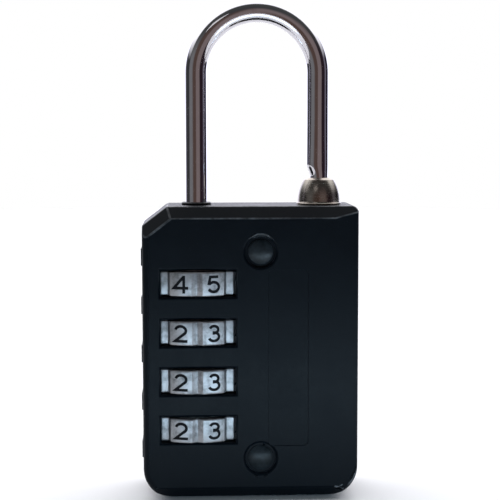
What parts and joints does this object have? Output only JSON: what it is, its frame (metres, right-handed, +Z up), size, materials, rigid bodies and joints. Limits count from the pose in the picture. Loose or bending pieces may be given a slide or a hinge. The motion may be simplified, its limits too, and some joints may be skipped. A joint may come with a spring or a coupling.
{
  "type": "luggage combination padlock",
  "caption": "Small luggage padlock: cast two-shell body, number dials on one upright axis, and a steel shackle that lifts out of a collar once the dials line up.",
  "frame": {"origin": "centre of the object's bounding box at its base, on the surface that it stands on", "axes": "+X to the right and +Z up as seen from the front, where the shackle is on top; +Y to the back"},
  "size_m": [0.03, 0.0148, 0.0688],
  "materials": {
    "black_paint": "satin black paint on cast zinc",
    "chrome": "polished chrome plate",
    "turned_steel": "satin, with fine turning lines",
    "dial_metal": "satin nickel plate, with fine lines round the rim",
    "number_ink": "black paint filled into the numbers",
    "cast_zinc": "bare zinc casting",
    "spring_steel": "spring steel, drawn"
  },
  "bodies": {
    "case": {"front_shell": "black_paint", "back_shell": "black_paint", "upper_rivet": "black_paint", "lower_rivet": "black_paint", "toe_collar": "turned_steel", "detent_spring": "spring_steel", "cam_return_spring": "spring_steel", "shackle_spring": "spring_steel", "spacer_1": "cast_zinc", "spacer_2": "cast_zinc", "spacer_3": "cast_zinc", "spacer_4": "cast_zinc", "spacer_5": "cast_zinc"},
    "shackle": {"shackle": "chrome"},
    "dial_1": {"number_ring_1": "dial_metal", "cam_1": "cast_zinc"},
    "dial_2": {"number_ring_2": "dial_metal", "cam_2": "cast_zinc"},
    "dial_3": {"number_ring_3": "dial_metal", "cam_3": "cast_zinc"},
    "dial_4": {"number_ring_4": "dial_metal", "cam_4": "cast_zinc"}
  },
  "joints": [
    {"name": "shackle_lift", "type": "slide", "parent": "case", "child": "shackle", "axis": [0, 0, 1], "range_m": [0, 0.00675], "deforming": ["shackle_spring"]},
    {"name": "dial_1_turn", "type": "hinge", "parent": "case", "child": "dial_1", "pos_m": [-0.00725, 0, 0.00975], "axis": [0, 0, 1], "continuous": true},
    {"name": "dial_2_turn", "type": "hinge", "parent": "case", "child": "dial_2", "pos_m": [-0.00725, 0, 0.0165], "axis": [0, 0, 1], "continuous": true},
    {"name": "dial_3_turn", "type": "hinge", "parent": "case", "child": "dial_3", "pos_m": [-0.00725, 0, 0.02325], "axis": [0, 0, 1], "continuous": true},
    {"name": "dial_4_turn", "type": "hinge", "parent": "case", "child": "dial_4", "pos_m": [-0.00725, 0, 0.03], "axis": [0, 0, 1], "continuous": true}
  ]
}
